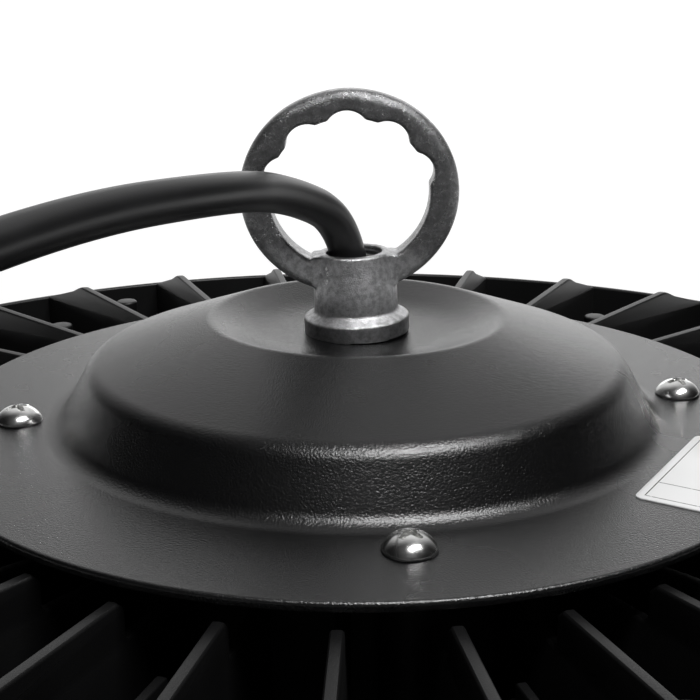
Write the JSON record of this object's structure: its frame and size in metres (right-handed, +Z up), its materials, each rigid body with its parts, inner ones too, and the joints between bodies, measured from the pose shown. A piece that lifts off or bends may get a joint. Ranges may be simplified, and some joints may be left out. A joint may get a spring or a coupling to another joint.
{
  "type": "high bay light",
  "caption": "Round finned high bay LED light with a domed driver cover, a scalloped hanging ring and a black lead with bare cores.",
  "frame": {"origin": "middle of the bottom rim, on the surface that the light stands on", "axes": "+Z up through the hanging ring, the lamp shines along -Z, +Y away from the viewer, the ring's eye lies in the XZ plane"},
  "size_m": [0.3921, 0.3611, 0.1503],
  "materials": {
    "heat_sink": "black die-cast, matt powder coat",
    "cover": "black fine-wrinkle powder coat",
    "seal": "moulded",
    "bright_steel": "nickel plated",
    "zinc": "cast zinc, slightly rough and rubbed",
    "driver_case": "anodised",
    "block": "moulded nylon",
    "board": "white solder mask on aluminium",
    "phosphor": "yellow phosphor in a white package",
    "lens": "clear moulded polycarbonate",
    "label": "white sticker with a black frame line",
    "sheath": "smooth black sheath",
    "blue_core": "insulated core",
    "brown_core": "insulated core",
    "earth_wire": "green and yellow insulated core",
    "red_lead": "insulated lead",
    "ferrule": "tinned copper with a collar"
  },
  "bodies": {
    "root": {"heat_sink": "heat_sink", "driver_cover": "cover", "cover_gasket": "seal", "cover_screws": "bright_steel", "hanging_ring": "zinc", "ring_seal": "seal", "ring_washer": "bright_steel", "ring_lock_nut": "bright_steel", "cable_grommet": "seal", "led_driver": "driver_case", "driver_screws": "bright_steel", "terminal_block": "block", "earth_lug": "bright_steel", "earth_screw": "bright_steel", "lead_grommet": "seal", "led_board": "board", "led_chips": "phosphor", "board_screws": "bright_steel", "lens": "lens", "lens_gasket": "seal", "lens_ring": "heat_sink", "lens_screws": "bright_steel", "inspection_label": "label", "power_cable": "sheath", "neutral_core": "blue_core", "live_core": "brown_core", "earth_core": "earth_wire", "negative_lead": "sheath", "positive_lead": "red_lead", "live_tail": "brown_core", "neutral_tail": "blue_core", "earth_tail": "earth_wire", "ferrules": "ferrule"}
  },
  "joints": []
}
